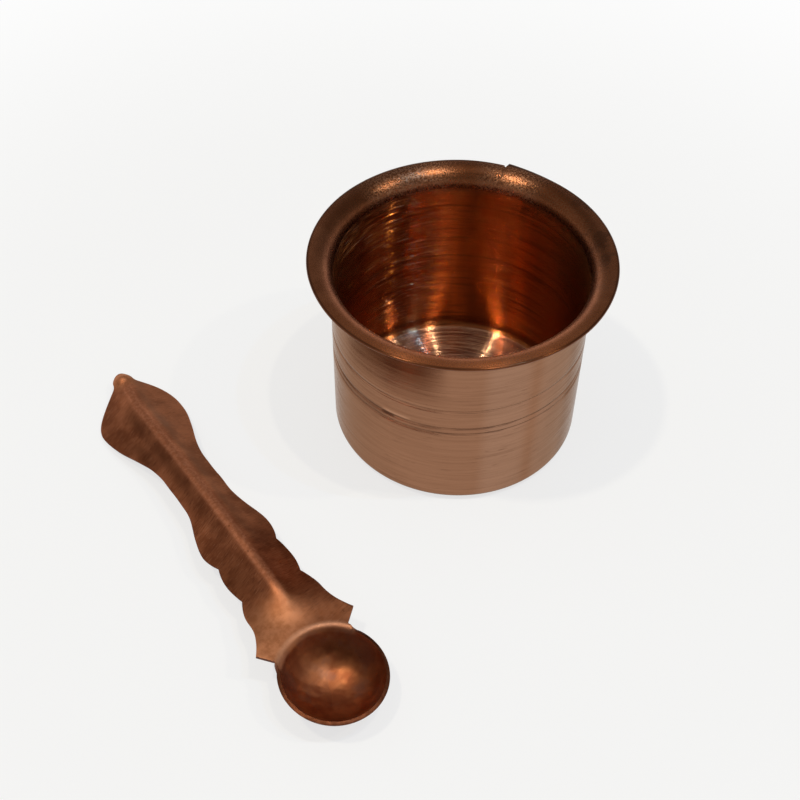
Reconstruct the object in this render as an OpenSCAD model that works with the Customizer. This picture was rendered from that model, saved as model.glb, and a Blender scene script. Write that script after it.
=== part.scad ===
// Panchpatra: a spun copper cup with an out-turned lip, and the pressed
// copper spoon that lies beside it. Millimetres, +Z up.
// The origin is the centre of the cup's base, on the surface both pieces rest on.
// The spoon lies along Y, with its bowl towards -Y.

/* [Cup] */
// Outside diameter across the lip
rim_d = 68; // [65:0.5:76]
// Height of the cup
cup_h = 49.2; // [38:0.1:64]
// Outside diameter of the straight wall
wall_d = 58; // [50:0.5:60]
// Thickness of the cup's sheet
cup_sheet = 0.7; // [0.5:0.05:1.2]
// Outside radius of the corner between floor and wall
base_r = 2.6; // [1.6:0.1:6]
// Radius under the lip, where the wall turns outwards
flare_r = 3.4; // [1.5:0.1:4.2]

/* [Cup marks] */
// Height of the pair of turned lines round the wall
line_z = 25; // [16:0.5:34]
// Distance between the lines of the pair
line_gap = 1.7; // [1.2:0.1:3]
// Height of the single fine line above the pair
fine_line_rise = 5.5; // [4:0.5:7]
// Depth of each line
line_depth = 0.12; // [0.05:0.01:0.2]
// Width of the split in the lip
split_w = 0.7; // [0.4:0.1:2]
// Depth of the split in the lip
split_depth = 1.0; // [0.5:0.1:1.4]
// Direction of the split round the lip
split_angle = 36; // [0:1:90]

/* [Spoon] */
// Overall length of the spoon, seen from above
spoon_len = 113.9; // [100:0.1:130]
// Outside diameter of the bowl
bowl_d = 22.9; // [20:0.1:25]
// Outside depth of the bowl
bowl_depth = 8.2; // [7:0.1:9]
// Sideways tilt of the bowl and its collar
bowl_roll = 4.5; // [0:0.5:8]
// Tilt of the bowl and its collar towards the bowl's free end
bowl_pitch = 3; // [0:0.5:5]
// Thickness of the spoon's sheet
spoon_sheet = 0.8; // [0.7:0.05:1.2]
// Width across the pointed shoulders beside the bowl
shoulder_w = 23.2; // [21:0.2:27]
// Width across the scallops of the root
scallop_w = 16.7; // [14.5:0.1:18]
// How far each scallop's meeting point is cut in
cusp_cut = 1.2; // [0.4:0.1:1.8]
// Width across the waist
waist_w = 11.2; // [8:0.1:13]
// Width across the leaf-shaped end
leaf_w = 20.5; // [16:0.5:22]
// Diameter of the rounded tip
knob_d = 5.2; // [4:0.2:6.4]
// Sideways lean of the tip
tip_lean = 1.2; // [-2:0.1:2]

/* [Spoon ridge] */
// How far the ridge stands above the bowl's rim where it leaves the root
ridge_rise = 3.4; // [2.2:0.1:4.4]
// Slope of the flanks beside the ridge
flank_slope = 0.6; // [0.44:0.02:0.7]
// Rounding where the two flanks meet
ridge_r = 2.5; // [1:0.1:3]
// Height of the rounded rib along the ridge
rib_h = 1; // [0.3:0.1:1.4]
// Spread of the rib to either side
rib_w = 2; // [1.2:0.1:2.4]
// Upward bow of the handle between root and tip
handle_bow = 1.9; // [0:0.1:3]

/* [Layout] */
// Distance from the cup's axis to the spoon's centre line
spoon_x = 65.9; // [56:0.1:90]
// How far the bowl's centre lies in front of the cup's axis
bowl_y = 50.1; // [20:0.1:80]

/* [Hidden] */
$fn = 96;
eps = 0.01;
copper = [0.80, 0.52, 0.40];
brown_copper = [0.50, 0.27, 0.18];

// Cup, worked out from the sizes above
rim_r = rim_d / 2;
wall_r = wall_d / 2;
turn_r = min(flare_r, 0.85 * (rim_r - wall_r - cup_sheet));
turn_z = cup_h - cup_sheet - turn_r;
lip_l = rim_r - wall_r - turn_r - cup_sheet / 2;
groove_r = 0.6;

// Bowl: part of a ball, which stands on its lowest point however it is tilted
bowl_r = bowl_d / 2;
ball_r = (bowl_r * bowl_r + bowl_depth * bowl_depth) / (2 * bowl_depth);
// Centre of the tilted rim: across, along and up
ball_rise = ball_r - bowl_depth;
rim_v = -ball_rise * sin(bowl_roll) * cos(bowl_pitch);
rim_u = ball_rise * sin(bowl_pitch);
rim_z = ball_r - ball_rise * cos(bowl_roll) * cos(bowl_pitch);

// Stations along the handle, measured from the bowl's centre
reach = spoon_len - bowl_r;
knob_r = knob_d / 2;
root_u = bowl_r + 0.02 * reach;
notch_u = 0.74 * bowl_r;
shoulder_u = 0.111 * reach;
sweep_u = 0.19 * reach;
ridge_u = 0.24 * reach;
cusp_b_u = 0.246 * reach;
cusp_a_u = 0.346 * reach;
lobe_u = 0.394 * reach;
waist_a_u = 0.525 * reach;
waist_b_u = 0.626 * reach;
leaf_u = 0.856 * reach;
knob_u = reach - knob_r;
neck_u = knob_u - 0.35 * knob_r;
tip_u = knob_u + 0.2 * knob_r;

// Half-widths at those stations
notch_hw = 0.76 * bowl_r;
lobe_hw = scallop_w / 2;
cusp_hw = lobe_hw - cusp_cut;
mid_hw = lobe_hw - 0.45;
sweep_hw = lobe_hw + 0.4;
waist_hw = waist_w / 2;
leaf_hw = leaf_w / 2;
neck_hw = 1.25 * knob_r;
tip_hw = knob_r * sqrt(1 - 0.2 * 0.2);

// Heights of the handle: its crest starts above the collar and comes down
// until the leaf's edges rest on the same surface as the bowl
crest_a = bowl_depth + ridge_rise;
crest_fall = min([for (k = [0 : 0.1 : 1])
    let (u = mix(leaf_u, neck_u, k), s = part_of(root_u, reach, u))
    (crest_a + bow(s) - edge_fall(half_w(u))) / s]);
knob_rise = 0.7;
knob_drop = 1.9;

// Cosine step from 0 at a to 1 at b
function ease(a, b, x) = (1 - cos(180 * min(1, max(0, (x - a) / (b - a))))) / 2;
function mix(p, q, t) = p + (q - p) * t;
function part_of(a, b, x) = (x - a) / (b - a);

// Half-width of the handle: pointed shoulder, scallops that meet in cusps,
// waist, leaf and rounded tip
function half_w(u) =
    u < shoulder_u ? mix(notch_hw, shoulder_w / 2, part_of(notch_u, shoulder_u, u)) :
    u < sweep_u ? mix(shoulder_w / 2, sweep_hw, 1 - pow(1 - part_of(shoulder_u, sweep_u, u), 2)) :
    u < cusp_b_u ? mix(sweep_hw, cusp_hw, pow(part_of(sweep_u, cusp_b_u, u), 2)) :
    u < cusp_a_u ? mix(mid_hw, cusp_hw, pow(2 * part_of(cusp_b_u, cusp_a_u, u) - 1, 2)) :
    u < lobe_u ? mix(lobe_hw, cusp_hw, pow(1 - part_of(cusp_a_u, lobe_u, u), 2)) :
    u < waist_b_u ? mix(lobe_hw, waist_hw, ease(lobe_u, waist_a_u, u)) :
    u < leaf_u ? mix(waist_hw, leaf_hw, ease(waist_b_u, leaf_u, u)) :
    u < neck_u ? mix(leaf_hw, neck_hw, pow(part_of(leaf_u, neck_u, u), 2)) :
    u < tip_u ? mix(neck_hw, tip_hw, 1 - pow(1 - part_of(neck_u, tip_u, u), 2)) :
    knob_r * sqrt(max(0.01, 1 - pow((u - knob_u) / knob_r, 2)));

// Section across the handle: how far the sheet falls away from the crest of the rib
function rib(v) = exp(-v * v / (2 * rib_w * rib_w));
function flank(v) =
    flank_slope * (sqrt(v * v + ridge_r * ridge_r) - ridge_r) + rib_h * (1 - rib(v)) - 0.007 * v * v;
function grade(v) =
    flank_slope * v / sqrt(v * v + ridge_r * ridge_r) + rib_h * rib(v) * v / (rib_w * rib_w) - 0.014 * v;
// From the crest down to the lower face at the sheet's edge
function edge_fall(v) = flank(v) + spoon_sheet / sqrt(1 + grade(v) * grade(v));
function bow(s) = 4 * handle_bow * s * (1 - s);
function crest(u) = let (s = part_of(root_u, reach, u)) crest_a - crest_fall * s + bow(s);
function knob_dome(u, v) =
    crest(knob_u) + knob_rise - knob_drop * ((u - knob_u) * (u - knob_u) + v * v) / (knob_r * knob_r);

// The collar, flush with the bowl's rim and tilted with it
function collar(u, v) =
    rim_z - 0.06 - (v - rim_v) * tan(bowl_roll) + (u - rim_u) * tan(bowl_pitch) / cos(bowl_roll);
// Upper face of the sheet at u along the handle and v across it
function top_z(u, v) = mix(collar(u, v), max(crest(u) - flank(v), knob_dome(u, v)), ease(root_u - 1, ridge_u, u));
function lean(u) = tip_lean * ease(leaf_u, knob_u, u);
function top_point(u, v) = [v + lean(u), u, top_z(u, v)];

// The lower face lies one sheet thickness below, square to the upper face
function lower_point(u, v) =
    let (
        d = 0.1,
        slope_u = (top_z(u + d, v) - top_z(u - d, v)) / (2 * d),
        slope_v = (top_z(u, v + d) - top_z(u, v - d)) / (2 * d),
        k = spoon_sheet / sqrt(1 + slope_u * slope_u + slope_v * slope_v)
    )
    top_point(u, v) + k * [slope_v, slope_u, -1];

// Evenly spaced stations from a up to, and without, b
function span(a, b, n) = [for (i = [0 : n - 1]) mix(a, b, i / n)];

stations = concat(
    span(notch_u, shoulder_u, 4),
    span(shoulder_u, sweep_u, 6),
    span(sweep_u, cusp_b_u, 7),
    span(cusp_b_u, cusp_a_u, 10),
    span(cusp_a_u, lobe_u, 6),
    span(lobe_u, waist_a_u, 9),
    span(waist_a_u, waist_b_u, 5),
    span(waist_b_u, leaf_u, 12),
    span(leaf_u, neck_u, 10),
    span(neck_u, tip_u, 4),
    [for (a = [12 : 10 : 82]) knob_u + knob_r * sin(a)]
);
// Places across the handle, closer together at the ridge
columns = 7;
across = [for (j = [-columns : columns]) sign(j) * pow(abs(j) / columns, 1.5)];

// A sheet over the grid of stations and places across: upper face, lower face and four edges
module handle() {
    n = len(stations);
    c = len(across);
    m = n * c;
    upper = [for (u = stations) for (k = across) top_point(u, k * half_w(u))];
    lower = [for (u = stations) for (k = across) lower_point(u, k * half_w(u))];
    faces = concat(
        [for (i = [0 : n - 2]) for (j = [0 : c - 2]) let (p = i * c + j) each [
            [p, p + c, p + c + 1],
            [p, p + c + 1, p + 1],
            [m + p, m + p + c + 1, m + p + c],
            [m + p, m + p + 1, m + p + c + 1]
        ]],
        [for (i = [0 : n - 2]) for (e = [0, c - 1]) let (p = i * c + e, q = p + c) each e == 0
            ? [[p, m + p, m + q], [p, m + q, q]]
            : [[p, m + q, m + p], [p, q, m + q]]],
        [for (j = [0 : c - 2]) for (e = [0, n - 1]) let (p = e * c + j, q = p + 1) each e == 0
            ? [[p, m + q, m + p], [p, q, m + q]]
            : [[p, m + p, m + q], [p, m + q, q]]]
    );
    polyhedron(points = concat(upper, lower), faces = faces, convexity = 8);
}

// Part of a ring between two angles: a bend in a sheet, seen in section
module bend(x, y, r_out, t, a0, a1) {
    far = 2 * r_out;
    translate([x, y])
        intersection() {
            difference() {
                circle(r_out);
                circle(r_out - t);
            }
            polygon([
                [0, 0],
                far * [cos(a0), sin(a0)],
                far * [cos((a0 + a1) / 2), sin((a0 + a1) / 2)],
                far * [cos(a1), sin(a1)]
            ]);
        }
}

// Half section of the bowl: a rounded sheet, cut level at the rim
module bowl_section()
    intersection() {
        translate([0, ball_r])
            difference() {
                circle(ball_r);
                circle(ball_r - spoon_sheet);
            }
        square([2 * bowl_r, bowl_depth]);
    }

// Half section of the cup's sheet: floor, corner, wall, flare and lip
module cup_section() {
    t = cup_sheet;
    square([wall_r - base_r, t]);
    bend(wall_r - base_r, base_r, base_r, t, -90, 0);
    translate([wall_r - t, base_r])
        square([t, turn_z - base_r]);
    bend(wall_r + turn_r, turn_z, turn_r + t, t, 90, 180);
    translate([wall_r + turn_r, cup_h - t])
        square([lip_l, t]);
    translate([rim_r - t / 2, cup_h - t / 2])
        circle(t / 2);
}

module cup() color(copper)
    difference() {
        rotate_extrude()
            difference() {
                cup_section();
                for (z = [line_z, line_z - line_gap, line_z + fine_line_rise])
                    translate([wall_r + groove_r - line_depth, z])
                        circle(groove_r);
            }
        rotate(split_angle)
            translate([rim_r - split_depth, 0, turn_z])
                linear_extrude(cup_h)
                    polygon([
                        [0, 0],
                        [2 * split_depth, -split_w],
                        [2 * split_depth, split_w]
                    ]);
    }

// Tilts the bowl about the centre of its ball
module tilted()
    translate([0, 0, ball_r])
        rotate([bowl_pitch, bowl_roll, 0])
            translate([0, 0, -ball_r])
                children();

module spoon() color(brown_copper)
    translate([-spoon_x, -bowl_y, 0]) {
        tilted()
            rotate_extrude()
                bowl_section();
        difference() {
            handle();
            tilted()
                translate([0, 0, -bowl_depth])
                    cylinder(r = bowl_r - spoon_sheet / 2, h = 4 * bowl_depth);
        }
    }

cup();
spoon();
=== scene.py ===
import math

import bpy
from mathutils import Matrix, Vector, noise


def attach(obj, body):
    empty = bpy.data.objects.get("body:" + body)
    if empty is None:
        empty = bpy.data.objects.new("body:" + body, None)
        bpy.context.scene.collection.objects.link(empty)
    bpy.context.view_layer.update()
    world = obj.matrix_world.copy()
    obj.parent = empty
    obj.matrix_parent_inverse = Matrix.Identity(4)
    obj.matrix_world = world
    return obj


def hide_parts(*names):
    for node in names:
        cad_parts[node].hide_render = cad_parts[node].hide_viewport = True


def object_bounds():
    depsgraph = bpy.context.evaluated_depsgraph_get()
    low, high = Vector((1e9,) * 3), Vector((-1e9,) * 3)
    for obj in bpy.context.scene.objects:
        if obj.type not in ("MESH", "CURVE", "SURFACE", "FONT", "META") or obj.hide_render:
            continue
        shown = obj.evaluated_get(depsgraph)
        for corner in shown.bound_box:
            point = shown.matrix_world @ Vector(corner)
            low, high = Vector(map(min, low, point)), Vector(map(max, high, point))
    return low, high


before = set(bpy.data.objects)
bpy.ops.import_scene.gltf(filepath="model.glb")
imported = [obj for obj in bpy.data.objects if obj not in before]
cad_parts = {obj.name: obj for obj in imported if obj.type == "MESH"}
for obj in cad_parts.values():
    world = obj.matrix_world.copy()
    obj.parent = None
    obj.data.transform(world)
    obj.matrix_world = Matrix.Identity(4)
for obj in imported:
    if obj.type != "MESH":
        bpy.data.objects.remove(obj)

cad_lo, cad_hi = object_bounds()
MM = 0.001


# Helpers

def mix(a, b, t):
    """The value a share t of the way from a to b."""
    return a + (b - a) * t


def clamp(t):
    return min(1.0, max(0.0, t))


def ease(a, b, x):
    """0 at a and 1 at b, with a soft start and end. b may be the smaller one."""
    return (1 - math.cos(math.pi * clamp((x - a) / (b - a)))) / 2


def bell(x, width):
    """1 at zero, falling off softly to either side."""
    return math.exp(-(x / width) ** 2)


def rough(x, y, z, scale):
    """Smooth irregularity between about -1 and 1, the same on every run."""
    return noise.noise(Vector((x / scale, y / scale, z / scale)))


def link(name, data):
    """A new object with this data, in the scene."""
    obj = bpy.data.objects.new(name, data)
    bpy.context.scene.collection.objects.link(obj)
    return obj


def mesh_object(name, points, faces, marks):
    """A smooth mesh from points in millimetres, with one number per point for each mark."""
    mesh = bpy.data.meshes.new(name)
    mesh.from_pydata([Vector(p) * MM for p in points], [], faces)
    for mark, values in marks.items():
        mesh.attributes.new(mark, "FLOAT", "POINT").data.foreach_set("value", values)
    mesh.polygons.foreach_set("use_smooth", [True] * len(mesh.polygons))
    mesh.validate()
    return link(name, mesh)


# Camera, at the photograph's height and angle, with the angles in degrees

CAMERA_TURN = 34.777
CAMERA_PITCH = 48.198
CAMERA_ROLL = 0.596
CAMERA_PLACE = (-0.12740, -0.16020, 0.230418)
CAMERA_LENS = 56.25
CAMERA_SENSOR = 36


def make_camera():
    turn, pitch, roll = (math.radians(a) for a in (CAMERA_TURN, CAMERA_PITCH, CAMERA_ROLL))
    level = math.cos(pitch)
    ahead = Vector((math.sin(turn) * level, math.cos(turn) * level, -math.sin(pitch)))
    flat_right = Vector((math.cos(turn), -math.sin(turn), 0))
    flat_above = flat_right.cross(ahead)
    right = math.cos(roll) * flat_right + math.sin(roll) * flat_above
    above = math.cos(roll) * flat_above - math.sin(roll) * flat_right
    camera = link("camera", bpy.data.cameras.new("camera"))
    camera.data.sensor_width = CAMERA_SENSOR
    camera.data.lens = CAMERA_LENS
    camera.data.clip_start = 0.01
    turned = Matrix((right, above, -ahead)).transposed().to_4x4()
    camera.matrix_world = Matrix.Translation(CAMERA_PLACE) @ turned
    bpy.context.scene.camera = camera


# Cup: one spun sheet, turned round Z. Lengths are in millimetres, directions in degrees.

RIM = 34.0
HEIGHT = 49.2
WALL = 29.0
CUP_SHEET = 0.7
CORNER = 2.6
FLARE = 3.4
INNER_WALL = WALL - CUP_SHEET
INNER_CORNER = CORNER - CUP_SHEET
TURN_Z = HEIGHT - CUP_SHEET - FLARE
FLAT_R = RIM - 0.9
EDGE_R = 0.35
OUTER_STEPS = 44
INNER_STEPS = 40
UNDER_RINGS = (0, 4, 9, 14, 19, 23, 25.5)
PAN_RINGS = (25.5, 24, 22.5, 20, 17, 14, 11, 8, 5, 2.5, 0)

# Turned lines: heights, share of dirt in each, the circle that cuts them and the rings across one
LINES = (23.3, 25.0, 30.5)
LINE_DIRT = (1.0, 1.0, 0.45)
DIRT_HALF = 0.34
DIRT_SOFT = 0.2
GROOVE_R = 0.6
GROOVE_OUT = 0.48
GROOVE_HALF = 0.36
GROOVE_CLEAR = 0.45
GROOVE_RINGS = (-0.36, -0.3, -0.2, -0.1, 0, 0.1, 0.2, 0.3, 0.36)

# Split in the lip: its direction and slot, and how the lip is bent and worn beside it
SPLIT = 36.0
SLOT_HALF = 0.45
SLOT_DEPTH = 1.15
SLOT_R = RIM - 2.2
BEND_R = 29.4
PUSHED_OUT = 0.85
PUSHED_OVER = 21
PUSHED_CURVE = 1.7
DRAWN_IN = 0.22
DRAWN_OVER = 16
DRAWN_CURVE = 1.5
WORN_EDGE = 0.10
WORN_HEIGHT = 0.3
WORN_SCALE = 0.42

# Directions round the cup, closer together at the split
TURN_STEP = 1.5
SPLIT_CLEAR = 2.6
SPLIT_STEPS = (0, 0.25, 0.5, 0.76, 1.1, 1.6, 2.4)

# Rings over which the lip's brown runs out under it, and the numbers of the cup's materials
BRIM_RINGS = 5
OUTSIDE = 0
LIP = 1
INSIDE = 2


def arc(cx, cz, r, a, b, n):
    """Points on a circle from one direction to another, in n steps."""
    steps = [math.radians(mix(a, b, i / n)) for i in range(n + 1)]
    return [(cx + r * math.cos(s), cz + r * math.sin(s)) for s in steps]


def cup_wall(z):
    """Outer radius of the wall, with the turned lines cut in."""
    for line in LINES:
        if abs(z - line) < GROOVE_HALF:
            return WALL + GROOVE_OUT - math.sqrt(GROOVE_R ** 2 - (z - line) ** 2)
    return WALL


def wall_heights():
    """Heights of the outer wall's rings, close together at the turned lines."""
    even = {round(mix(CORNER, TURN_Z, i / OUTER_STEPS), 3) for i in range(1, OUTER_STEPS)}
    clear = {z for z in even if min(abs(z - line) for line in LINES) > GROOVE_CLEAR}
    close = {line + d for line in LINES for d in GROOVE_RINGS}
    return sorted(clear | close)


def cup_profile():
    """Radius and height all round the sheet: up the outside, over the lip and down the inside."""
    outside = [(r, 0) for r in UNDER_RINGS]
    outside += arc(WALL - CORNER, CORNER, CORNER, -90, 0, 10)
    outside += [(cup_wall(z), z) for z in wall_heights()]
    outside += arc(WALL + FLARE, TURN_Z, FLARE, 180, 90, 12)
    lip = [(FLAT_R, HEIGHT - CUP_SHEET)]
    lip += arc(RIM - EDGE_R, HEIGHT - EDGE_R, EDGE_R, -90, 90, 8)
    lip += [(FLAT_R, HEIGHT)]
    lip += arc(WALL + FLARE, TURN_Z, FLARE + CUP_SHEET, 90, 180, 14)
    foot = CUP_SHEET + INNER_CORNER
    inside = [(INNER_WALL, mix(TURN_Z, foot, i / INNER_STEPS)) for i in range(1, INNER_STEPS)]
    inside += arc(INNER_WALL - INNER_CORNER, foot, INNER_CORNER, 0, -90, 10)
    inside += [(r, CUP_SHEET) for r in PAN_RINGS]
    return outside, lip, inside


def cup_directions():
    even = [i * TURN_STEP for i in range(round(360 / TURN_STEP))]
    clear = [a for a in even if abs(a - SPLIT) > SPLIT_CLEAR]
    close = {SPLIT + side * d for d in SPLIT_STEPS for side in (-1, 1)}
    return sorted(clear + list(close))


def cup_place(r, z, angle):
    """A point of the profile in one direction, with the damage at the split in the lip."""
    a = math.radians(angle)
    out = clamp((r - BEND_R) / (RIM - BEND_R))
    off = (angle - SPLIT + 180) % 360 - 180
    if off <= 0:
        r += PUSHED_OUT * out ** 2 * clamp(1 + off / PUSHED_OVER) ** PUSHED_CURVE
    else:
        r -= DRAWN_IN * out ** 2 * clamp(1 - off / DRAWN_OVER) ** DRAWN_CURVE
    wear = rough(math.cos(a), math.sin(a), WORN_HEIGHT, WORN_SCALE)
    r -= WORN_EDGE * out * (0.5 + 0.5 * wear)
    from_split = abs(math.radians(off)) * RIM
    if r > SLOT_R and from_split < SLOT_HALF:
        edge = RIM - SLOT_DEPTH * (1 - from_split / SLOT_HALF)
        r = mix(SLOT_R, edge, (r - SLOT_R) / (RIM - SLOT_R))
    return (r * math.cos(a), r * math.sin(a), z)


def line_mark(z):
    """How much dirt the turned lines hold at a height."""
    return max(dirt * clamp((DIRT_HALF - abs(z - line)) / DIRT_SOFT)
               for line, dirt in zip(LINES, LINE_DIRT))


def cup_faces(n, rings, start, stop):
    """Faces between the rings and at both ends, with the number of each one's material."""
    faces, slots = [], []
    last = 1 + rings * n
    for j in range(n):
        k = (j + 1) % n
        faces.append((0, 1 + k, 1 + j))
        slots.append(OUTSIDE)
        faces.append((last, last - n + j, last - n + k))
        slots.append(INSIDE)
        for i in range(rings - 1):
            p = 1 + i * n
            faces.append((p + j, p + k, p + n + k, p + n + j))
            slots.append(OUTSIDE if i < start - 2 else LIP if i < stop - 2 else INSIDE)
    return faces, slots


def make_cup():
    outside, lip, inside = cup_profile()
    profile = outside + lip + inside
    start = len(outside)
    stop = start + len(lip)
    directions = cup_directions()
    n = len(directions)
    points = [(0, 0, 0)]
    brim, line = [0.0], [0.0]
    for i, (r, z) in enumerate(profile[1:-1], 1):
        points += [cup_place(r, z, a) for a in directions]
        brim += [clamp((i - start + BRIM_RINGS) / BRIM_RINGS) if i < start else 0.0] * n
        line += [line_mark(z) if i < start else 0.0] * n
    points.append((0, 0, CUP_SHEET))
    brim.append(0.0)
    line.append(0.0)
    faces, slots = cup_faces(n, len(profile) - 2, start, stop)
    obj = mesh_object("cup_sheet", points, faces, {"brim": brim, "line": line})
    for make in (cup_outside_material, cup_lip_material, cup_inside_material):
        obj.data.materials.append(make())
    obj.data.polygons.foreach_set("material_index", slots)
    return obj


# Spoon: one pressed sheet. Its upper face is drawn as bowl rings that run on into the rows of the
# handle, and the sheet's thickness is given to it below. u runs along the spoon and v across it, in
# millimetres from the middle of the bowl.

SPOON_X = -65.9
BOWL_Y = -50.1
SHEET = 0.8
LENGTH = 113.88
BOWL_R = 11.45
BOWL_DEPTH = 8.2
BELOW_RIM = 0.06
REACH = LENGTH - BOWL_R

# The ball that the bowl is part of, and the tilt of the bowl
BALL_R = (BOWL_R ** 2 + BOWL_DEPTH ** 2) / (2 * BOWL_DEPTH)
BALL_IN = BALL_R - SHEET
BALL_RISE = BALL_R - BOWL_DEPTH
ROLL = math.radians(4.5)
PITCH = math.radians(3)
RIM_V = -BALL_RISE * math.sin(ROLL) * math.cos(PITCH)
RIM_U = BALL_RISE * math.sin(PITCH)
COLLAR_Z = BALL_R - BALL_RISE * math.cos(ROLL) * math.cos(PITCH) - BELOW_RIM

# Places along the handle, from the bowl to the tip
NOTCH_U = 0.74 * BOWL_R
SHOULDER_U = 0.111 * REACH
ROOT_U = BOWL_R + 0.02 * REACH
SWEEP_U = 0.19 * REACH
RIDGE_U = 0.24 * REACH
CUSP_B = 0.246 * REACH
CUSP_A = 0.346 * REACH
LOBE_U = 0.394 * REACH
WAIST_A = 0.525 * REACH
WAIST_B = 0.626 * REACH
LEAF_U = 0.856 * REACH
KNOB_R = 2.6
KNOB_U = REACH - KNOB_R
NECK_U = KNOB_U - 0.35 * KNOB_R
TIP_U = KNOB_U + 0.2 * KNOB_R

# The fold between the hollow of the bowl and the collar: radius, centre and reach to either side
FOLD = 2.2
FOLD_Z = BOWL_DEPTH - BELOW_RIM - FOLD
FOLD_R = math.sqrt((BALL_IN + FOLD) ** 2 - (BALL_R - FOLD_Z) ** 2)
FOLD_A = math.acos((BALL_R - FOLD_Z) / (BALL_IN + FOLD))
RIM_A = math.acos(BALL_RISE / BALL_IN)
SPREAD = math.acos((NOTCH_U - RIM_U) / FOLD_R)
FREE_OVER = 0.22

# Half-widths of the handle at those places
NOTCH_HW = FOLD_R * math.sin(SPREAD)
SHOULDER_HW = 11.6
LOBE_HW = 8.35
SWEEP_HW = LOBE_HW + 0.4
CUSP_HW = LOBE_HW - 1.2
MID_HW = LOBE_HW - 0.45
WAIST_HW = 5.6
LEAF_HW = 10.25
NECK_HW = 1.25 * KNOB_R
TIP_HW = KNOB_R * math.sqrt(0.96)

# Section and height of the handle
FALL = 0.6
FALL_ROUND = 2.5
FALL_CURL = 0.007
RIB_H = 1.0
RIB_W = 2.0
BOW = 7.6
CREST_A = BOWL_DEPTH + 3.4
LEAN = 1.2
KNOB_RISE = 0.7
KNOB_DROP = 1.9
KNOB_SOFT = 0.8

# Shallow dents of the flanks: place along and across, depth and spread either way
DENTS = (
    (75, -3.6, 0.30, 5, 1.7),
    (66, -4.4, -0.16, 4, 1.8),
    (57, -4.0, 0.20, 4, 1.8),
    (44, -4.6, 0.14, 6, 2.2),
    (84, 4.2, 0.15, 6, 2.4),
    (52, 4.0, 0.12, 7, 2.0),
)

# Hammer marks in the bowl, in two sizes, the radius where they have faded out, and the lift of its middle
HAMMER_DEPTH = 0.34
HAMMER_WIDTH = 3.4
PECK_DEPTH = 0.07
PECK_WIDTH = 1.3
HAMMER_R = 10.4
HAMMER_FADE = 3
BOWL_LIFT = 0.05

# Waves of the handle's face, in two sizes, and of its edges
WAVE_DEPTH = 0.13
WAVE_WIDTH = 7
RIPPLE_DEPTH = 0.04
RIPPLE_WIDTH = 2.4
SWAY_DEPTH = 0.12
SWAY_WIDTH = 5

# Steps of the mesh: the bowl's rings and free rim, the handle's rows and places to either side
HOLLOW_STEPS = 24
FOLD_STEPS = 9
BOWL_RINGS = HOLLOW_STEPS + FOLD_STEPS
FREE_STEPS = 92
SIDE_STEPS = 20
SHOULDER_STEPS = 8
SWEEP_STEPS = 14
HANDLE_STEPS = (
    (SWEEP_U, CUSP_B, 11),
    (CUSP_B, CUSP_A, 20),
    (CUSP_A, LOBE_U, 10),
    (LOBE_U, WAIST_A, 20),
    (WAIST_A, WAIST_B, 14),
    (WAIST_B, LEAF_U, 34),
    (LEAF_U, NECK_U, 24),
    (NECK_U, TIP_U, 6),
)
KNOB_ANGLES = range(12, 85, 6)

# How much thinner than the solid the mesh is, the rounding of its edges, and the numbers of the
# materials of its edges and its lower face
THINNED = 0.01
EDGE_ROUND = 0.34
EDGE_ANGLE = math.radians(55)
EDGE_SLOT = 1
UNDER_SLOT = 2


def half_w(u):
    """Half-width of the handle: shoulder, scallops, waist, leaf and tip."""
    def part(a, b):
        return (u - a) / (b - a)
    if u < SHOULDER_U:
        return mix(NOTCH_HW, SHOULDER_HW, part(NOTCH_U, SHOULDER_U))
    if u < SWEEP_U:
        return mix(SHOULDER_HW, SWEEP_HW, 1 - (1 - part(SHOULDER_U, SWEEP_U)) ** 2)
    if u < CUSP_B:
        return mix(SWEEP_HW, CUSP_HW, part(SWEEP_U, CUSP_B) ** 2)
    if u < CUSP_A:
        return mix(MID_HW, CUSP_HW, (2 * part(CUSP_B, CUSP_A) - 1) ** 2)
    if u < LOBE_U:
        return mix(LOBE_HW, CUSP_HW, (1 - part(CUSP_A, LOBE_U)) ** 2)
    if u < WAIST_B:
        return mix(LOBE_HW, WAIST_HW, ease(LOBE_U, WAIST_A, u))
    if u < LEAF_U:
        return mix(WAIST_HW, LEAF_HW, ease(WAIST_B, LEAF_U, u))
    if u < NECK_U:
        return mix(LEAF_HW, NECK_HW, part(LEAF_U, NECK_U) ** 2)
    if u < TIP_U:
        return mix(NECK_HW, TIP_HW, 1 - (1 - part(NECK_U, TIP_U)) ** 2)
    return KNOB_R * math.sqrt(max(0.01, 1 - ((u - KNOB_U) / KNOB_R) ** 2))


def flank(v):
    """How far the sheet falls from the crest of the rib."""
    rib = math.exp(-v * v / (2 * RIB_W ** 2))
    slope = FALL * (math.sqrt(v * v + FALL_ROUND ** 2) - FALL_ROUND)
    return slope + RIB_H * (1 - rib) - FALL_CURL * v * v


def edge_fall(v):
    """How far the lower face lies under the crest of the rib."""
    step = 0.01
    grade = (flank(v + step) - flank(v - step)) / (2 * step)
    return flank(v) + SHEET / math.sqrt(1 + grade * grade)


def along(u):
    """Share of the way from the root to the tip."""
    return (u - ROOT_U) / (REACH - ROOT_U)


def bow(s):
    """How far the crest is bowed up over a straight line."""
    return BOW * s * (1 - s)


# The crest comes down as far as the leaf allows, whose edges then touch the ground
LEAF_STATIONS = [mix(LEAF_U, NECK_U, k / 10) for k in range(11)]
CREST_FALL = min((CREST_A + bow(along(u)) - edge_fall(half_w(u))) / along(u) for u in LEAF_STATIONS)


def crest(u):
    return CREST_A - CREST_FALL * along(u) + bow(along(u))


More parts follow.
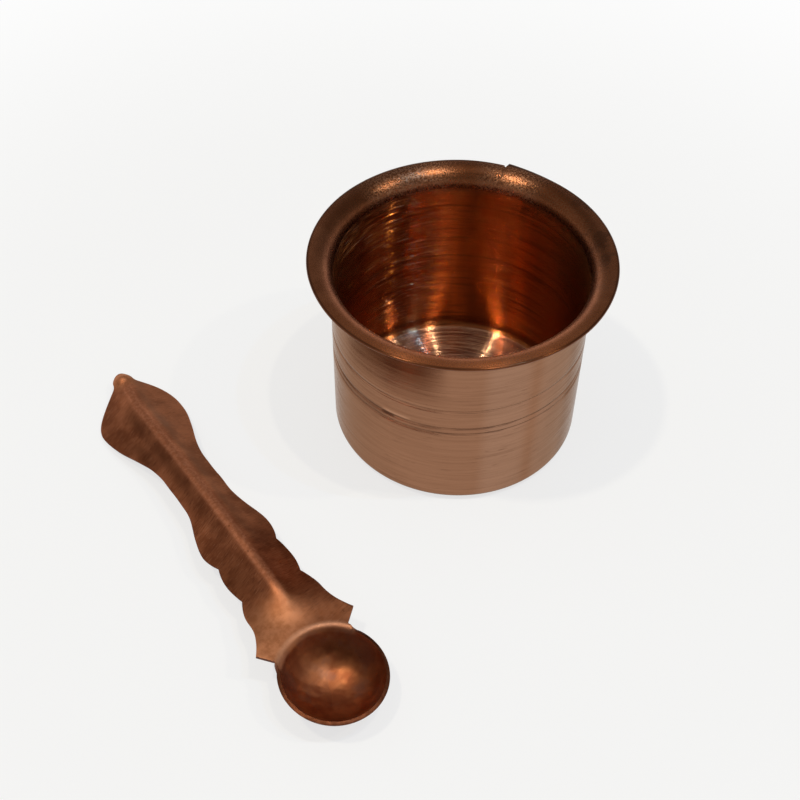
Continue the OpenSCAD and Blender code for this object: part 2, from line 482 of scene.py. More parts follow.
def top_z(u, v):
    """Upper face of the handle: the collar, the ridge with falling flanks and the rounded tip."""
    vault = crest(u) - flank(v)
    knob = crest(KNOB_U) + KNOB_RISE - KNOB_DROP * ((u - KNOB_U) ** 2 + v * v) / KNOB_R ** 2
    share = clamp(0.5 + (knob - vault) / KNOB_SOFT)
    body = mix(vault, knob, share) + KNOB_SOFT / 2 * share * (1 - share)
    collar = COLLAR_Z - (v - RIM_V) * math.tan(ROLL) + (u - RIM_U) * math.tan(PITCH) / math.cos(ROLL)
    return mix(collar, body, ease(ROOT_U - 1, RIDGE_U, u))


def tilted(v, u, z):
    """A point of the bowl once the bowl is tilted about the centre of its ball."""
    up = z - BALL_R
    pitched_u = u * math.cos(PITCH) - up * math.sin(PITCH)
    pitched_up = u * math.sin(PITCH) + up * math.cos(PITCH)
    rolled_v = v * math.cos(ROLL) + pitched_up * math.sin(ROLL)
    rolled_up = pitched_up * math.cos(ROLL) - v * math.sin(ROLL)
    return rolled_v, pitched_u, rolled_up + BALL_R


def lean(u):
    """How far the end of the handle leans to one side."""
    return LEAN * ease(LEAF_U, KNOB_U, u)


def collar_rows(across):
    """Rows from the bowl's fold to the scallops. The first follows the fold, the later ones
    straighten out."""
    key = (SHOULDER_U - NOTCH_U) / (SWEEP_U - NOTCH_U)
    steps = [key * i / SHOULDER_STEPS for i in range(SHOULDER_STEPS)]
    steps += [mix(key, 1, i / SWEEP_STEPS) for i in range(SWEEP_STEPS)]
    rows = []
    for t in steps:
        edge_u = mix(NOTCH_U, SWEEP_U, t)
        bulge = (1 - t) * FOLD_R
        row = []
        for k in across:
            u = edge_u + bulge * (math.cos(SPREAD * k) - math.cos(SPREAD))
            v = half_w(edge_u) * mix(math.sin(SPREAD * k) / math.sin(SPREAD), k, t)
            row.append((u, v + max(0, 1 - t / key) * RIM_V, k))
        rows.append(row)
    return rows


def handle_rows(across):
    """Rows across the handle, each a list of places along it, across it and as a share of its
    half-width."""
    stations = [mix(a, b, i / n) for a, b, n in HANDLE_STEPS for i in range(n)]
    stations += [KNOB_U + KNOB_R * math.sin(math.radians(a)) for a in KNOB_ANGLES]
    return collar_rows(across) + [[(u, k * half_w(u), k) for k in across] for u in stations]


# Wear, painted shade and painted highlight of the spoon, with places and widths in millimetres along it
# (u) and across it (v)

def handle_shade(u, v):
    """Painted shade beside the rib and on the right flank; darker at the root's left and at the waist."""
    valley = bell(v + 2.7, 1.5) * mix(0.55, 1, ease(46, 60, u)) * ease(30, 44, u) * ease(94, 85, u)
    right = (0.30 * bell(v - 2.6, 1.4) + 0.52 * ease(0.8, 2.5, v)) * ease(26, 40, u)
    root = 0.95 * bell(v + 6, 4) * bell(u - 30, 10)
    past_waist = u - 75
    waist = 0.85 * bell(v + 5.4 + 0.12 * past_waist, 2.0) * bell(past_waist, 6.5)
    return max(valley, right, root, waist)


def bowl_shade(u, v):
    """How dark the bowl's wall is, partly oxide and partly painted shade: most towards the right of the
    root, least on the left.
    """
    r = max(0.1, math.hypot(u, v))
    dark = max(0, 0.816 * v + 0.576 * u) / r
    pale = max(0, 0.57 * u - 0.82 * v) / r
    wall = clamp((math.hypot(u - 0.9, v + 1.3) - 4) / 4)
    return wall * (0.5 + 0.6 * dark - 0.4 * pale ** 2)


def wear_and_painted_highlight(u, v, hollow):
    """How far the brown is rubbed off on the collar, most at its left, and at the tip, with a painted
    highlight in the bowl.
    """
    collar = (1 - ease(ROOT_U + 3, RIDGE_U + 1, u)) * (1 - hollow) * clamp((u - 5) / 5)
    tip = ease(3.6, 2.0, math.hypot(u - KNOB_U, v))
    # Painted highlight in the bowl
    painted_reflection = hollow * bell(v + 3.2, 3) * bell(u - 4.6, 3)
    return max(collar * mix(0.35, 1, ease(5, -5, v)), 0.6 * tip, 0.55 * painted_reflection)


# Mesh of the spoon

class SpoonSheet:
    """Upper face of the spoon, with the marks that its material reads."""

    def __init__(self):
        self.points = []
        self.faces = []
        # Marks: painted shade, a painted highlight along the fold, and wear with a painted highlight in
        # the bowl
        self.marks = {"ridge": [], "bowl": [], "wear_and_highlight": [], "shade": [], "pale": []}

    def add(self, v, u, z, ridge=0.0, hollow=0.0, pale=0.0):
        self.points.append((SPOON_X + v + lean(u), BOWL_Y + u, z))
        self.marks["ridge"].append(ridge)
        self.marks["bowl"].append(hollow)
        self.marks["wear_and_highlight"].append(wear_and_painted_highlight(u, v, hollow))
        self.marks["shade"].append(handle_shade(u, v) if u > ROOT_U else bowl_shade(u, v) * hollow)
        self.marks["pale"].append(pale)

    def add_hollow(self, directions):
        """Middle of the bowl and its rings up to the fold, with shallow hammer marks."""
        self.add(*tilted(0, 0, SHEET + BOWL_LIFT), hollow=1.0)
        for i in range(1, HOLLOW_STEPS + 1):
            a = FOLD_A * i / HOLLOW_STEPS
            r = BALL_IN * math.sin(a)
            z = BALL_R - BALL_IN * math.cos(a)
            for f in directions:
                v = r * math.sin(f)
                u = r * math.cos(f)
                dent = HAMMER_DEPTH * abs(rough(v, u, 3, HAMMER_WIDTH))
                dent += PECK_DEPTH * abs(rough(v, u, 8, PECK_WIDTH))
                dent *= clamp((HAMMER_R - r) / HAMMER_FADE)
                self.add(*tilted(v, u, z + dent), hollow=1.0)

    def add_fold(self, directions):
        """Last rings of the bowl: folded over into the collar, upright at the free rim."""
        for i in range(1, FOLD_STEPS + 1):
            t = i / FOLD_STEPS
            a = FOLD_A * (1 - t)
            b = mix(FOLD_A, RIM_A, t)
            folded = (FOLD_R - FOLD * math.sin(a), FOLD_Z + FOLD * math.cos(a))
            upright = (BALL_IN * math.sin(b), BALL_R - BALL_IN * math.cos(b))
            for f in directions:
                past = abs((f + math.pi) % (2 * math.pi) - math.pi) - SPREAD
                free = ease(0, FREE_OVER, past)
                r, z = (mix(p, q, free) for p, q in zip(folded, upright))
                hollow = mix(1 - t, 1 - 0.45 * t, free)
                # Painted highlight along the crest of the fold
                pale = (1 - free) * bell(t - 0.8, 0.3)
                self.add(*tilted(r * math.sin(f), r * math.cos(f), z), hollow=hollow, pale=pale)

    def add_bowl_faces(self, n):
        for j in range(n):
            k = (j + 1) % n
            self.faces.append((0, 1 + k, 1 + j))
            for i in range(BOWL_RINGS - 1):
                p = 1 + i * n
                self.faces.append((p + j, p + k, p + n + k, p + n + j))

    def add_handle(self, rows, before):
        """The handle's rows, joined on to the numbers of the points in the row before them."""
        for row in rows:
            here = []
            for u, v, k in row:
                here.append(len(self.points))
                ridge = (1 - ease(0.7, 1.5, abs(v + 0.2))) * ease(ROOT_U + 2, RIDGE_U + 2, u)
                z = top_z(u, v) + handle_wave(u, v) * (1 - abs(k) ** 4)
                self.add(v + edge_sway(u, k), u, z, ridge=ridge)
            for j in range(len(row) - 1):
                self.faces.append((before[j], before[j + 1], here[j + 1], here[j]))
            before = here


def handle_wave(u, v):
    """Unevenness of the handle's face, which runs out at the root and the tip."""
    wave = WAVE_DEPTH * rough(u, v, 1, WAVE_WIDTH) + RIPPLE_DEPTH * rough(u, v, 5, RIPPLE_WIDTH)
    for at_u, at_v, depth, long_, wide in DENTS:
        wave -= depth * bell(u - at_u, long_) * bell(v - at_v, wide)
    return wave * clamp((u - ROOT_U) / 4) * clamp((REACH - u) / 6)


def edge_sway(u, k):
    """Unevenness of the handle's outline, with a draw of its own for each side."""
    draw = 9 if k > 0 else 4
    sway = SWAY_DEPTH * rough(u, 0, draw, SWAY_WIDTH)
    return sway * abs(k) ** 3 * clamp((u - ROOT_U) / 6)


def thicken(obj):
    """Give the sheet its thickness downwards, and round its edges."""
    solid = obj.modifiers.new("thickness", "SOLIDIFY")
    solid.thickness = (SHEET - THINNED) * MM
    solid.offset = -1
    solid.use_even_offset = True
    solid.material_offset_rim = EDGE_SLOT
    solid.material_offset = UNDER_SLOT
    edge = obj.modifiers.new("edge", "BEVEL")
    edge.width = EDGE_ROUND * MM
    edge.segments = 3
    edge.limit_method = "ANGLE"
    edge.angle_limit = EDGE_ANGLE
    edge.use_clamp_overlap = True


def make_spoon():
    places = range(-SIDE_STEPS, SIDE_STEPS + 1)
    across = [math.copysign((abs(j) / SIDE_STEPS) ** 1.25, j) for j in places]
    fan = [SPREAD * k for k in across]
    free = [mix(fan[-1], 2 * math.pi + fan[0], i / FREE_STEPS) for i in range(1, FREE_STEPS)]
    directions = fan + free
    n = len(directions)
    sheet = SpoonSheet()
    sheet.add_hollow(directions)
    sheet.add_fold(directions)
    sheet.add_bowl_faces(n)
    last_ring = 1 + (BOWL_RINGS - 1) * n
    fold_edge = [last_ring + j for j in range(len(fan))]
    sheet.add_handle(handle_rows(across)[1:], fold_edge)
    obj = mesh_object("spoon_sheet", sheet.points, sheet.faces, sheet.marks)
    thicken(obj)
    for made in (spoon_material(), spoon_edge_material(), spoon_under_material()):
        obj.data.materials.append(made)
    return obj


# Materials. BUMP_DEPTH and LEAST_R are in metres, and FULL_SHARE is how much of a direction's half-width
# counts in full.

BUMP_DEPTH = 0.0001
LEAST_R = 0.0005
FULL_SHARE = 0.4


def colour(r, g, b):
    return (r, g, b, 1.0)


class Nodes:
    """A short way to write a material's node tree."""

    def __init__(self, name):
        self.material = bpy.data.materials.new(name)
        self.material.use_nodes = True
        self.tree = self.material.node_tree
        self.tree.nodes.clear()
        self.place = self.add("ShaderNodeTexCoord").outputs["Object"]

    def add(self, kind, inputs=None, **settings):
        """A node with its settings, and its inputs linked or set."""
        made = self.tree.nodes.new(kind)
        for key, value in settings.items():
            setattr(made, key, value)
        for key, value in (inputs or {}).items():
            if isinstance(value, bpy.types.NodeSocket):
                self.tree.links.new(value, made.inputs[key])
            else:
                made.inputs[key].default_value = value
        return made

    def calc(self, operation, *values):
        return self.add("ShaderNodeMath", dict(enumerate(values)), operation=operation).outputs[0]

    def chain(self, operation, values):
        """One operation over all the values, from the first one on."""
        result = values[0]
        for value in values[1:]:
            result = self.calc(operation, result, value)
        return result

    def times(self, *values):
        return self.chain("MULTIPLY", values)

    def plus(self, *values):
        return self.chain("ADD", values)

    def most(self, *values):
        return self.chain("MAXIMUM", values)

    def less(self, a, b):
        return self.calc("SUBTRACT", a, b)

    def span(self, value, a, b, c=0.0, d=1.0):
        """Value taken from the span a to b to the span c to d, with soft ends."""
        inputs = {"Value": value, "From Min": a, "From Max": b, "To Min": c, "To Max": d}
        made = self.add("ShaderNodeMapRange", inputs, interpolation_type="SMOOTHSTEP")
        return made.outputs["Result"]

    def mark(self, name):
        """A number that the mesh carries at each point."""
        return self.add("ShaderNodeAttribute", attribute_name=name).outputs["Fac"]

    def noise(self, vector, scale, detail=3.0, roughness=0.5):
        inputs = {"Vector": vector, "Scale": scale, "Detail": detail, "Roughness": roughness}
        return self.add("ShaderNodeTexNoise", inputs).outputs["Fac"]

    def blend(self, share, a, b):
        made = self.add("ShaderNodeMix", {"Factor": share, 6: a, 7: b}, data_type="RGBA")
        return made.outputs[2]

    def layered(self, base, layers):
        """The base colour with the colour of each layer laid over it by its share."""
        for share, tone in layers:
            base = self.blend(share, base, tone)
        return base

    def combine(self, x, y, z):
        return self.add("ShaderNodeCombineXYZ", {0: x, 1: y, 2: z}).outputs[0]

    def bump(self, height, strength, **more):
        inputs = {"Height": height, "Strength": strength, "Distance": BUMP_DEPTH, **more}
        return self.add("ShaderNodeBump", inputs).outputs[0]

    def metal(self, inputs):
        """Finish the tree as bare metal with these inputs."""
        shader = self.add("ShaderNodeBsdfPrincipled", {"Metallic": 1.0, **inputs})
        return self.finish(shader.outputs[0])

    def finish(self, shader):
        self.add("ShaderNodeOutputMaterial", {"Surface": shader})
        return self.material


class Turned(Nodes):
    """Node tree of a sheet spun round Z, with places in millimetres and tool marks round the axis."""

    def __init__(self, name):
        super().__init__(name)
        x, y, z = self.add("ShaderNodeSeparateXYZ", {0: self.place}).outputs
        r = self.calc("SQRT", self.plus(self.times(x, x), self.times(y, y)))
        self.r = self.times(r, 1 / MM)
        self.z = self.times(z, 1 / MM)
        safe_r = self.most(r, LEAST_R)
        self.east = self.calc("DIVIDE", x, safe_r)
        self.north = self.calc("DIVIDE", y, safe_r)

    def marks(self, reach, pitch, detail, roughness):
        """Noise drawn out round the axis, as a tool leaves it."""
        along_profile = self.plus(self.r, self.z)
        where = self.combine(self.times(self.east, reach), self.times(self.north, reach),
                             self.times(along_profile, pitch))
        return self.noise(where, 1.0, detail, roughness)

    def facing(self, degrees, half):
        """1 towards one direction round the axis, down to 0 at half degrees to either side of it."""
        a = math.radians(degrees)
        dot = self.plus(self.times(self.east, math.cos(a)), self.times(self.north, math.sin(a)))
        full = half * FULL_SHARE
        return self.span(dot, math.cos(math.radians(half)), math.cos(math.radians(full)))

    def band(self, value, low, high, soft):
        """1 between two values, with soft ends."""
        return self.times(self.span(value, low - soft, low + soft),
                          self.span(value, high + soft, high - soft))

    def vector(self, operation, *values):
        made = self.add("ShaderNodeVectorMath", dict(enumerate(values)), operation=operation)
        return made.outputs[0]

    def brushed(self, *layers):
        """The normal, rocked along the profile by pairs of tool marks and how much they rock it."""
        normal = self.add("ShaderNodeNewGeometry").outputs["Normal"]
        round_axis = self.combine(self.times(self.north, -1.0), self.east, 0.0)
        profile = self.vector("CROSS_PRODUCT", normal, round_axis)
        rock = self.plus(*[self.times(self.less(marks, 0.5), amount) for marks, amount in layers])
        shift = self.add("ShaderNodeVectorMath", {0: profile, "Scale": rock}, operation="SCALE")
        return self.vector("NORMALIZE", self.vector("ADD", normal, shift.outputs[0]))

    def spun(self, base, polish, normal, anisotropy, edge):
        """Finish the tree as metal that draws lights out into streaks across its tool marks."""
        tangent = self.add("ShaderNodeTangent", direction_type="RADIAL", axis="Z").outputs[0]
        return self.metal({
            "Base Color": base, "Roughness": polish, "Specular Tint": edge, "Normal": normal,
            "Anisotropic": anisotropy, "Anisotropic Rotation": 0.25, "Tangent": tangent})


# Directions round the cup, in degrees: away from the camera, towards it, and the best lit side
FAR = 55
NEAR = 235
LIT = 240

# Kinds of tool marks: reach round the axis, pitch along the profile, detail and roughness
HAIR = (2.5, 24.0, 2.0, 0.6)
FINE = (1.8, 6.0, 4.0, 0.65)
BROAD = (0.7, 1.1, 2.0, 0.5)
DASHES = (5.0, 3.2, 2.0, 0.6)
OUTER_COARSE = (1.6, 1.9, 4.0, 0.7)
INNER_COARSE = (1.5, 0.9, 4.0, 0.7)
SCRATCHES = (3.2, 6.0, 2.0, 0.6)
# SHEEN is no tool mark: its noise draws the painted sheen bands behind the cup
SHEEN = (3.0, 0.02, 1.0, 0.5)

# How far the cup's faces draw lights out into streaks, and their tints at a glancing view
OUTER_STREAK = 0.6
LIP_STREAK = 0.9
INNER_STREAK = 1.0
OUTER_EDGE = colour(0.80, 0.70, 0.62)
PLAIN_EDGE = colour(1.0, 1.0, 1.0)

# Colours that more than one layer uses
LIP_DARK = colour(0.33, 0.108, 0.043)
LIP_LIGHT = colour(0.45, 0.162, 0.071)
# Colour of the painted shade strips between the streaks of the inner wall
DIM_WALL = colour(0.20, 0.052, 0.012)


def outside_bands(n):
    """Broad painted light and painted shade of the outside: shade at the sides and on the right and
    highlight bands, set at the front, and sheen bands drawn by noise behind.
    """
    sides = n.less(1.0, n.facing(LIT, 80))
    right = n.facing(305, 38)
    pale = n.most(n.facing(255, 13), n.facing(280, 12))
    behind = n.less(1.0, n.facing(LIT, 110))
    sheen = n.span(n.marks(*SHEEN), 0.42, 0.62, 0.0, 0.45)
    return [
        (n.times(sides, 0.55), colour(0.21, 0.105, 0.064)),
        (n.times(right, 0.42), colour(0.14, 0.078, 0.052)),
        (n.times(pale, 0.36), colour(0.42, 0.25, 0.17)),
        (n.times(behind, sheen), colour(0.46, 0.27, 0.18)),
    ]


def outside_wear_and_reflection(n, fine, coarse):
    """Darkened tool marks, a warm dark painted reflection under the lip and the smear at the lines."""
    fine_dirt = n.span(fine, 0.50, 0.74, 0.0, 0.36)
    coarse_dirt = n.span(coarse, 0.52, 0.74, 0.0, 0.45)
    under_lip = n.span(n.z, 29.0, 42.0)
    # Painted dark reflection under the lip
    painted_reflection = n.times(n.facing(201, 30), under_lip, n.span(fine, 0.25, 0.6, 1.0, 0.72))
    smear = n.times(n.facing(182, 24), n.band(n.z, 23.2, 25.6, 0.5))
    return [
        (fine_dirt, colour(0.18, 0.08, 0.042)),
        (coarse_dirt, colour(0.16, 0.070, 0.038)),
        (painted_reflection, colour(0.105, 0.028, 0.008)),
        (n.times(smear, 0.45), colour(0.15, 0.062, 0.033)),
    ]


def outside_marks(n):
    """Dirt in the turned lines, the burr on them painted as a highlight with its painted shadow beside
    it, the foot, stray dashes and the brim.
    """
    dashes = n.marks(*DASHES)
    blotch = n.noise(n.place, 170.0, 4.0, 0.6)
    weaker_above = n.span(n.z, 26.0, 28.0, 1.0, 0.6)
    lines = n.times(n.span(dashes, 0.40, 0.64, 0.08, 0.70), n.mark("line"), weaker_above)
    # The burr painted as a highlight, with its painted shadow beside it
    burr = n.times(n.facing(206, 8), n.band(n.z, 25.5, 26.1, 0.3))
    burr_shadow = n.times(n.facing(202, 4), n.band(n.z, 24.4, 25.2, 0.3))
    foot = n.span(n.z, 2.4, 0.8, 0.0, 0.6)
    stray = n.times(n.span(dashes, 0.61, 0.70, 0.0, 0.65), n.span(blotch, 0.45, 0.60))
    return [
        (lines, colour(0.085, 0.036, 0.020)),
        (n.times(burr, 0.7), colour(0.52, 0.28, 0.17)),
        (n.times(burr_shadow, 0.85), colour(0.09, 0.036, 0.020)),
        (foot, colour(0.17, 0.068, 0.040)),
        (stray, colour(0.14, 0.06, 0.033)),
        (n.times(n.mark("brim"), 0.8), LIP_DARK),
    ]


def cup_outside_material():
    n = Turned("spun_copper_outside")
    hair = n.marks(*HAIR)
    fine = n.marks(*FINE)
    broad = n.marks(*BROAD)
    coarse = n.marks(*OUTER_COARSE)
    copper = n.blend(n.span(broad, 0.3, 0.7),
                     colour(0.295, 0.140, 0.078), colour(0.330, 0.160, 0.091))
    layers = outside_bands(n) + outside_wear_and_reflection(n, fine, coarse) + outside_marks(n)
    polish = n.span(fine, 0.3, 0.7, 0.15, 0.22)
    normal = n.brushed((hair, 0.5), (fine, 0.42), (coarse, 0.15), (broad, 0.08))
    return n.spun(n.layered(copper, layers), polish, normal, OUTER_STREAK, OUTER_EDGE)


def lip_layers(n, fine, blotch, grain):
    """Stains of the lip, painted light on its front, painted shade on its inner edge, its flare and its
    far side, painted glints where the lamps catch it, and its dark outer edge.
    """
    fine_dirt = n.span(fine, 0.5, 0.8, 0.0, 0.3)
    stain = n.times(n.facing(340, 40), n.span(blotch, 0.50, 0.62, 0.0, 0.6))
    inner_edge = n.span(n.z, 48.6, 45.6, 0.0, 0.3)
    left_and_right = n.most(n.facing(120, 40), n.facing(350, 40))
    flare = n.times(n.span(n.r, 33.2, 30.4, 0.0, 0.55), left_and_right)
    lit_places = n.most(n.facing(80, 26), n.facing(32, 18))
    painted_sparkle = n.times(lit_places, n.span(grain, 0.42, 0.66, 0.0, 0.32))
    outer_edge = n.span(n.r, 33.25, 33.75, 0.0, 0.78)
    return [
        (fine_dirt, colour(0.18, 0.058, 0.024)),
        (stain, colour(0.09, 0.034, 0.017)),
        # Painted light on the front of the lip, towards the camera
        (n.times(n.facing(NEAR, 75), 0.5), colour(0.60, 0.185, 0.064)),
        # Painted shade on the inner edge, on the flare at left and right and on the far side
        (inner_edge, colour(0.13, 0.041, 0.016)),
        (flare, colour(0.10, 0.032, 0.013)),
        (n.times(n.facing(FAR, 80), 0.75), colour(0.16, 0.050, 0.018)),
        # Painted glints where the lamps' streaks cross the lip
        (painted_sparkle, colour(0.58, 0.36, 0.23)),
        (outer_edge, colour(0.06, 0.022, 0.011)),
    ]


def cup_lip_material():
    n = Turned("spun_copper_lip")
    fine = n.marks(*FINE)
    blotch = n.noise(n.place, 170.0, 4.0, 0.6)
    grain = n.noise(n.place, 2600.0, 2.0, 0.6)
    copper = n.blend(n.span(blotch, 0.35, 0.65), LIP_DARK, LIP_LIGHT)
    base = n.layered(copper, lip_layers(n, fine, blotch, grain))
    far_side = n.span(n.facing(FAR, 130), 0.0, 1.0, 0.2, 1.0)
    within_edge = n.span(n.r, 33.5, 32.9)
    height = n.times(n.less(grain, 0.5), n.times(within_edge, far_side))
    polish = n.span(height, -0.2, 0.2, 0.21, 0.34)
    normal = n.bump(height, 0.3, Normal=n.brushed((fine, 0.35)))
    return n.spun(base, polish, normal, LIP_STREAK, PLAIN_EDGE)


def inside_wall(n, coarse):
    """Darkened tool marks of the inner wall, painted light on its sides and painted shade in strips
    between the streaks.
    """
    dirt = n.span(coarse, 0.46, 0.68, 0.0, 0.8)
    sides = n.span(n.facing(FAR, 60), 1.0, 0.0, 0.0, 0.5)
    strips = n.most(n.times(n.facing(76, 15), 0.75), n.times(n.facing(37, 18), 0.7))
    low_strips = n.most(n.facing(64, 10), n.facing(41, 8), n.facing(92, 8))
    return [
        (dirt, colour(0.20, 0.054, 0.015)),
        (sides, colour(0.72, 0.31, 0.10)),
        (strips, DIM_WALL),
        (n.times(low_strips, n.span(n.z, 30.0, 16.0, 0.0, 0.38)), DIM_WALL),
    ]


def inside_marks(n):
    """Painted glints on the left, painted shade in the corner, a turned line and the crackled top of the
    wall.
    """
    dashes = n.marks(*DASHES)
    blotch = n.noise(n.place, 420.0, 4.0, 0.6)
    painted_glints = n.times(n.span(dashes, 0.55, 0.67, 0.0, 0.5), n.facing(115, 60))
    corner = n.times(n.span(n.z, 4.4, 2.4), n.span(n.r, 26.8, 27.3))
    line = n.times(n.band(n.z, 24.1, 24.5, 0.2), n.span(dashes, 0.35, 0.6, 0.2, 0.8))
    top = n.band(n.z, 42.5, 45.8, 1.2)
    crackle = n.times(top, n.span(blotch, 0.46, 0.66, 0.0, 0.6), n.facing(FAR, 95))
    under_lip = n.span(n.z, 43.0, 45.1, 0.0, 0.8)
    return [
        (painted_glints, colour(0.85, 0.60, 0.45)),
        # Painted shade in the corner
        (n.times(corner, 0.65), colour(0.16, 0.050, 0.019)),
        (line, colour(0.13, 0.045, 0.02)),
        (crackle, colour(0.12, 0.042, 0.019)),
        (under_lip, colour(0.27, 0.088, 0.035)),
    ]


def inside_normal(n, pan, fine, coarse, broad):
    """Tool marks of the wall and of the pan, and scratches on the left that catch the lamps."""
    def wall_to_pan(wall, floor):
        return n.span(pan, 0.0, 1.0, wall, floor)
    scratches = n.span(n.marks(*SCRATCHES), 0.56, 0.68, 0.5, 1.0)
    scratch_depth = n.times(n.facing(97, 52), wall_to_pan(-2.6, 0.0))
    return n.brushed(
        (n.marks(*HAIR), wall_to_pan(0.3, 3.2)), (fine, 0.5), (coarse, wall_to_pan(0.9, 0.2)),
        (broad, wall_to_pan(0.3, 0.06)), (scratches, scratch_depth))


def cup_inside_material():
    n = Turned("spun_copper_inside")
    fine = n.marks(*FINE)
    broad = n.marks(*BROAD)
    coarse = n.marks(*INNER_COARSE)
    pan = n.span(n.r, 27.3, 26.8)
    copper = n.blend(n.span(broad, 0.3, 0.7), colour(0.62, 0.174, 0.036), colour(0.70, 0.212, 0.048))
    pan_copper = n.blend(n.span(broad, 0.35, 0.65),
                         colour(0.68, 0.375, 0.225), colour(0.58, 0.305, 0.190))
    layers = inside_wall(n, coarse) + [(pan, pan_copper)] + inside_marks(n)
    polish = n.less(n.span(fine, 0.3, 0.7, 0.20, 0.26), n.times(pan, 0.05))
    normal = inside_normal(n, pan, fine, coarse, broad)
    return n.spun(n.layered(copper, layers), polish, normal, INNER_STREAK, PLAIN_EDGE)


def slanted_scratches(n):
    """Noise drawn out along the handle, a little aslant."""
    inputs = {"Vector": n.place, "Rotation": (0, 0, math.radians(14)),
              "Scale": (0.0026, 0.00019, 0.0012)}
    slant = n.add("ShaderNodeMapping", inputs, vector_type="TEXTURE")
    return n.noise(slant.outputs[0], 1.0, 3.0, 0.6)


def spoon_metals(n, blotch, grain):
    """The copper of the rib, lighter partly from polish and partly as painted highlight, of the bowl, and
    of the rubbed places and the painted highlight in the bowl.
    """
    rib = n.blend(n.span(grain, 0.38, 0.64), colour(0.49, 0.168, 0.078), colour(0.63, 0.240, 0.122))
    mottle = n.noise(n.place, 260.0, 2.0, 0.5)
    bowl = n.blend(n.span(mottle, 0.34, 0.66), colour(0.30, 0.084, 0.033), colour(0.50, 0.172, 0.066))
    bowl = n.blend(n.span(blotch, 0.48, 0.62, 0.0, 0.6), bowl, colour(0.25, 0.112, 0.075))
    cloud = n.noise(n.place, 380.0, 4.0, 0.6)
    tan = n.blend(n.span(cloud, 0.35, 0.65), colour(0.45, 0.170, 0.072), colour(0.61, 0.256, 0.122))
    return rib, bowl, tan


def spoon_material():
    n = Nodes("brown_copper")
    ridge = n.mark("ridge")
    bowl = n.mark("bowl")
    wear_and_highlight = n.mark("wear_and_highlight")
    scratch = slanted_scratches(n)
    blotch = n.noise(n.place, 150.0, 4.0, 0.55)
    grain = n.noise(n.place, 1300.0, 3.0, 0.65)
    rib_copper, bowl_copper, tan_copper = spoon_metals(n, blotch, grain)
    shaded = n.times(n.mark("shade"), n.span(blotch, 0.25, 0.6, 1.0, 0.7))
    pits = n.span(n.noise(n.place, 700.0, 2.0, 0.5), 0.73, 0.77, 0.0, 0.6)
    brown = n.blend(n.span(blotch, 0.36, 0.64), colour(0.24, 0.070, 0.028), colour(0.40, 0.133, 0.058))
    base = n.layered(brown, [
        (n.span(scratch, 0.50, 0.32, 0.0, 0.7), colour(0.16, 0.048, 0.022)),
        (n.span(scratch, 0.57, 0.70, 0.0, 0.75), colour(0.46, 0.19, 0.10)),
        # The rib's lighter copper: partly polish, partly painted highlight
        (n.times(ridge, 0.85), rib_copper),
        (bowl, bowl_copper),
        # Rubbed places, and a painted highlight in the bowl
        (wear_and_highlight, tan_copper),
        # Painted shade of the handle, and of the bowl's wall partly over its oxide
        (n.times(shaded, 0.88), colour(0.08, 0.022, 0.008)),
        # Painted highlight along the fold's crest
        (n.times(n.mark("pale"), 0.25), colour(0.60, 0.37, 0.25)),
        (pits, colour(0.08, 0.028, 0.014)),
    ])
    polish = n.plus(n.span(scratch, 0.3, 0.7, 0.33, 0.44),
                    n.times(ridge, 0.06), n.times(wear_and_highlight, 0.19), n.times(bowl, 0.08))
    height = n.plus(n.times(scratch, 0.6), n.times(grain, ridge, 0.1), n.times(blotch, 2.0))
    return n.metal({"Base Color": base, "Roughness": polish, "Normal": n.bump(height, 0.25),
                    "Specular Tint": colour(0.90, 0.78, 0.68)})


def tarnished_material(name, low, high, roughness):
    """Copper gone dark, with fine nicks."""
    n = Nodes(name)
    nicks = n.noise(n.place, 900.0, 4.0, 0.6)
    base = n.blend(n.span(nicks, 0.35, 0.7), low, high)
    return n.metal({"Base Color": base, "Roughness": roughness, "Normal": n.bump(nicks, 0.3)})


def spoon_edge_material():
    low = colour(0.11, 0.034, 0.015)
    high = colour(0.18, 0.058, 0.027)
    return tarnished_material("brown_copper_edge", low, high, 0.45)


def spoon_under_material():
    low = colour(0.15, 0.050, 0.024)
    high = colour(0.21, 0.074, 0.036)
    return tarnished_material("brown_copper_under", low, high, 0.40)


# Floor, world and lamps

FLOOR_HALF = 4.0
FLOOR_X = -0.025
FLOOR_BELOW = 0.00005

# Brightness of the world by height, from the horizon to straight above
WORLD_LEVELS = ((0.0, 1.0), (0.17, 1.0), (0.30, 0.27), (0.60, 0.18), (0.82, 0.18), (1.0, 0.54))

# Lamps: name, place, size, watts and tint. The small ones give the streaks in the cup.
WARM = (1, 0.92, 0.74)
COOL = (0.22, 0.55, 1)
WHITE = (1, 1, 1)
LAMPS = (
    ("overhead_right", (0.119, -0.265, 1.20), 0.03, 2.3, WARM),
    ("overhead_white", (0.274, -0.373, 1.20), 0.010, 1.5, COOL),
    ("far_right", (0.596, -0.597, 1.20), 0.035, 2.0, WARM),
    ("overhead_left", (-0.422, 0.110, 1.20), 0.06, 3.2, WARM),
    ("soft_left", (-0.62, 0.66, 0.86), 0.80, 0.40, WHITE),
)
LAMP_TARGET = (-0.02, 0, 0.02)


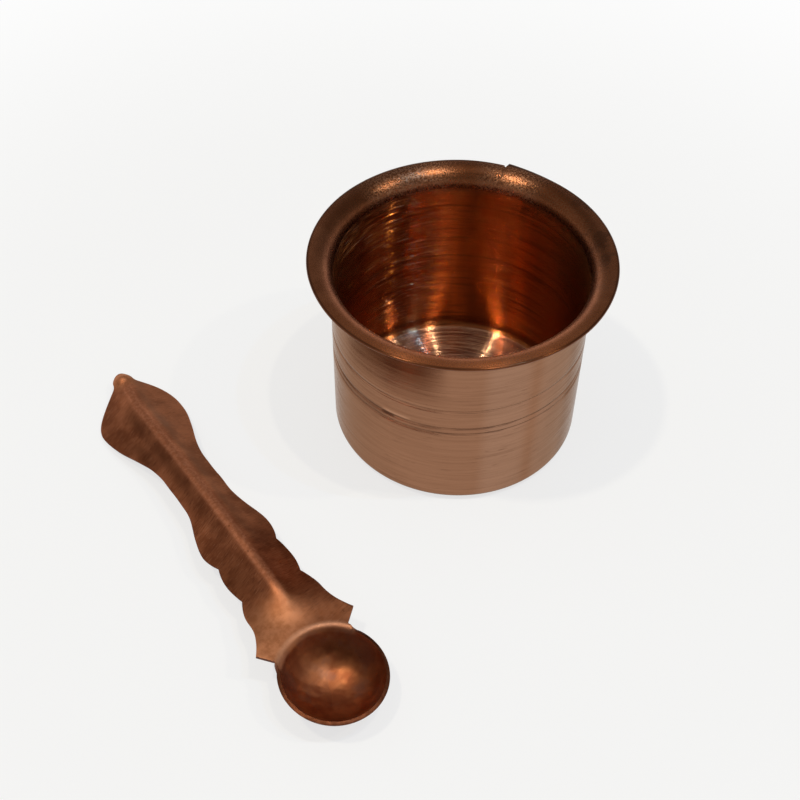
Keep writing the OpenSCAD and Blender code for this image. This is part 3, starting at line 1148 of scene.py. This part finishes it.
def floor_material():
    """Pale matt floor that keeps the shadow and goes over into a white backdrop."""
    n = Nodes("pale_floor")
    tone = n.blend(n.noise(n.place, 30.0), colour(0.91, 0.91, 0.91), colour(0.93, 0.93, 0.93))
    matt = n.add("ShaderNodeBsdfDiffuse", {"Color": tone})
    white = n.add("ShaderNodeEmission", {"Strength": 1.0})
    distance = n.add("ShaderNodeVectorMath", {0: n.place}, operation="LENGTH").outputs["Value"]
    backdrop = n.span(distance, 0.09, 0.30, 0.7, 1.0)
    path = n.add("ShaderNodeLightPath").outputs
    seen = n.most(path["Is Camera Ray"], path["Is Glossy Ray"], path["Is Transmission Ray"])
    inputs = {0: n.times(backdrop, seen), 1: matt.outputs[0], 2: white.outputs[0]}
    return n.finish(n.add("ShaderNodeMixShader", inputs).outputs[0])


def make_floor():
    half = FLOOR_HALF
    corners = [(-half, -half, 0), (half, -half, 0), (half, half, 0), (-half, half, 0)]
    mesh = bpy.data.meshes.new("floor")
    mesh.from_pydata(corners, [], [(0, 1, 2, 3)])
    mesh.materials.append(floor_material())
    obj = link("floor", mesh)
    obj.location = (FLOOR_X, 0, cad_lo.z - FLOOR_BELOW)
    return obj


def make_world():
    """Studio light by height: white at the horizon, dim above it and lighter overhead."""
    world = bpy.data.worlds.new("studio")
    bpy.context.scene.world = world
    world.use_nodes = True
    tree = world.node_tree
    tree.nodes.clear()
    way = tree.nodes.new("ShaderNodeTexCoord")
    split = tree.nodes.new("ShaderNodeSeparateXYZ")
    ramp = tree.nodes.new("ShaderNodeValToRGB")
    back = tree.nodes.new("ShaderNodeBackground")
    out = tree.nodes.new("ShaderNodeOutputWorld")
    tree.links.new(way.outputs["Generated"], split.inputs[0])
    tree.links.new(split.outputs["Z"], ramp.inputs[0])
    tree.links.new(ramp.outputs[0], back.inputs["Color"])
    tree.links.new(back.outputs[0], out.inputs["Surface"])
    stops = ramp.color_ramp.elements
    stops.remove(stops[1])
    first_level = WORLD_LEVELS[0][1]
    stops[0].color = colour(first_level, first_level, first_level)
    for where, level in WORLD_LEVELS[1:]:
        stops.new(where).color = colour(level, level, level)


def make_lamp(name, place, size, watts, tint):
    light = bpy.data.lights.new(name, "AREA")
    light.shape = "DISK"
    light.size = size
    light.energy = watts
    light.color = tint
    obj = link(name, light)
    obj.location = place
    obj.rotation_euler = (Vector(LAMP_TARGET) - Vector(place)).to_track_quat("-Z", "Y").to_euler()


# The scene

make_camera()

cup = make_cup()
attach(cup, "cup")
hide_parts("cup")

spoon = make_spoon()
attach(spoon, "spoon")
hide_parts("spoon")

floor = make_floor()

make_world()
for settings in LAMPS:
    make_lamp(*settings)

bpy.context.scene.view_settings.view_transform = "Standard"
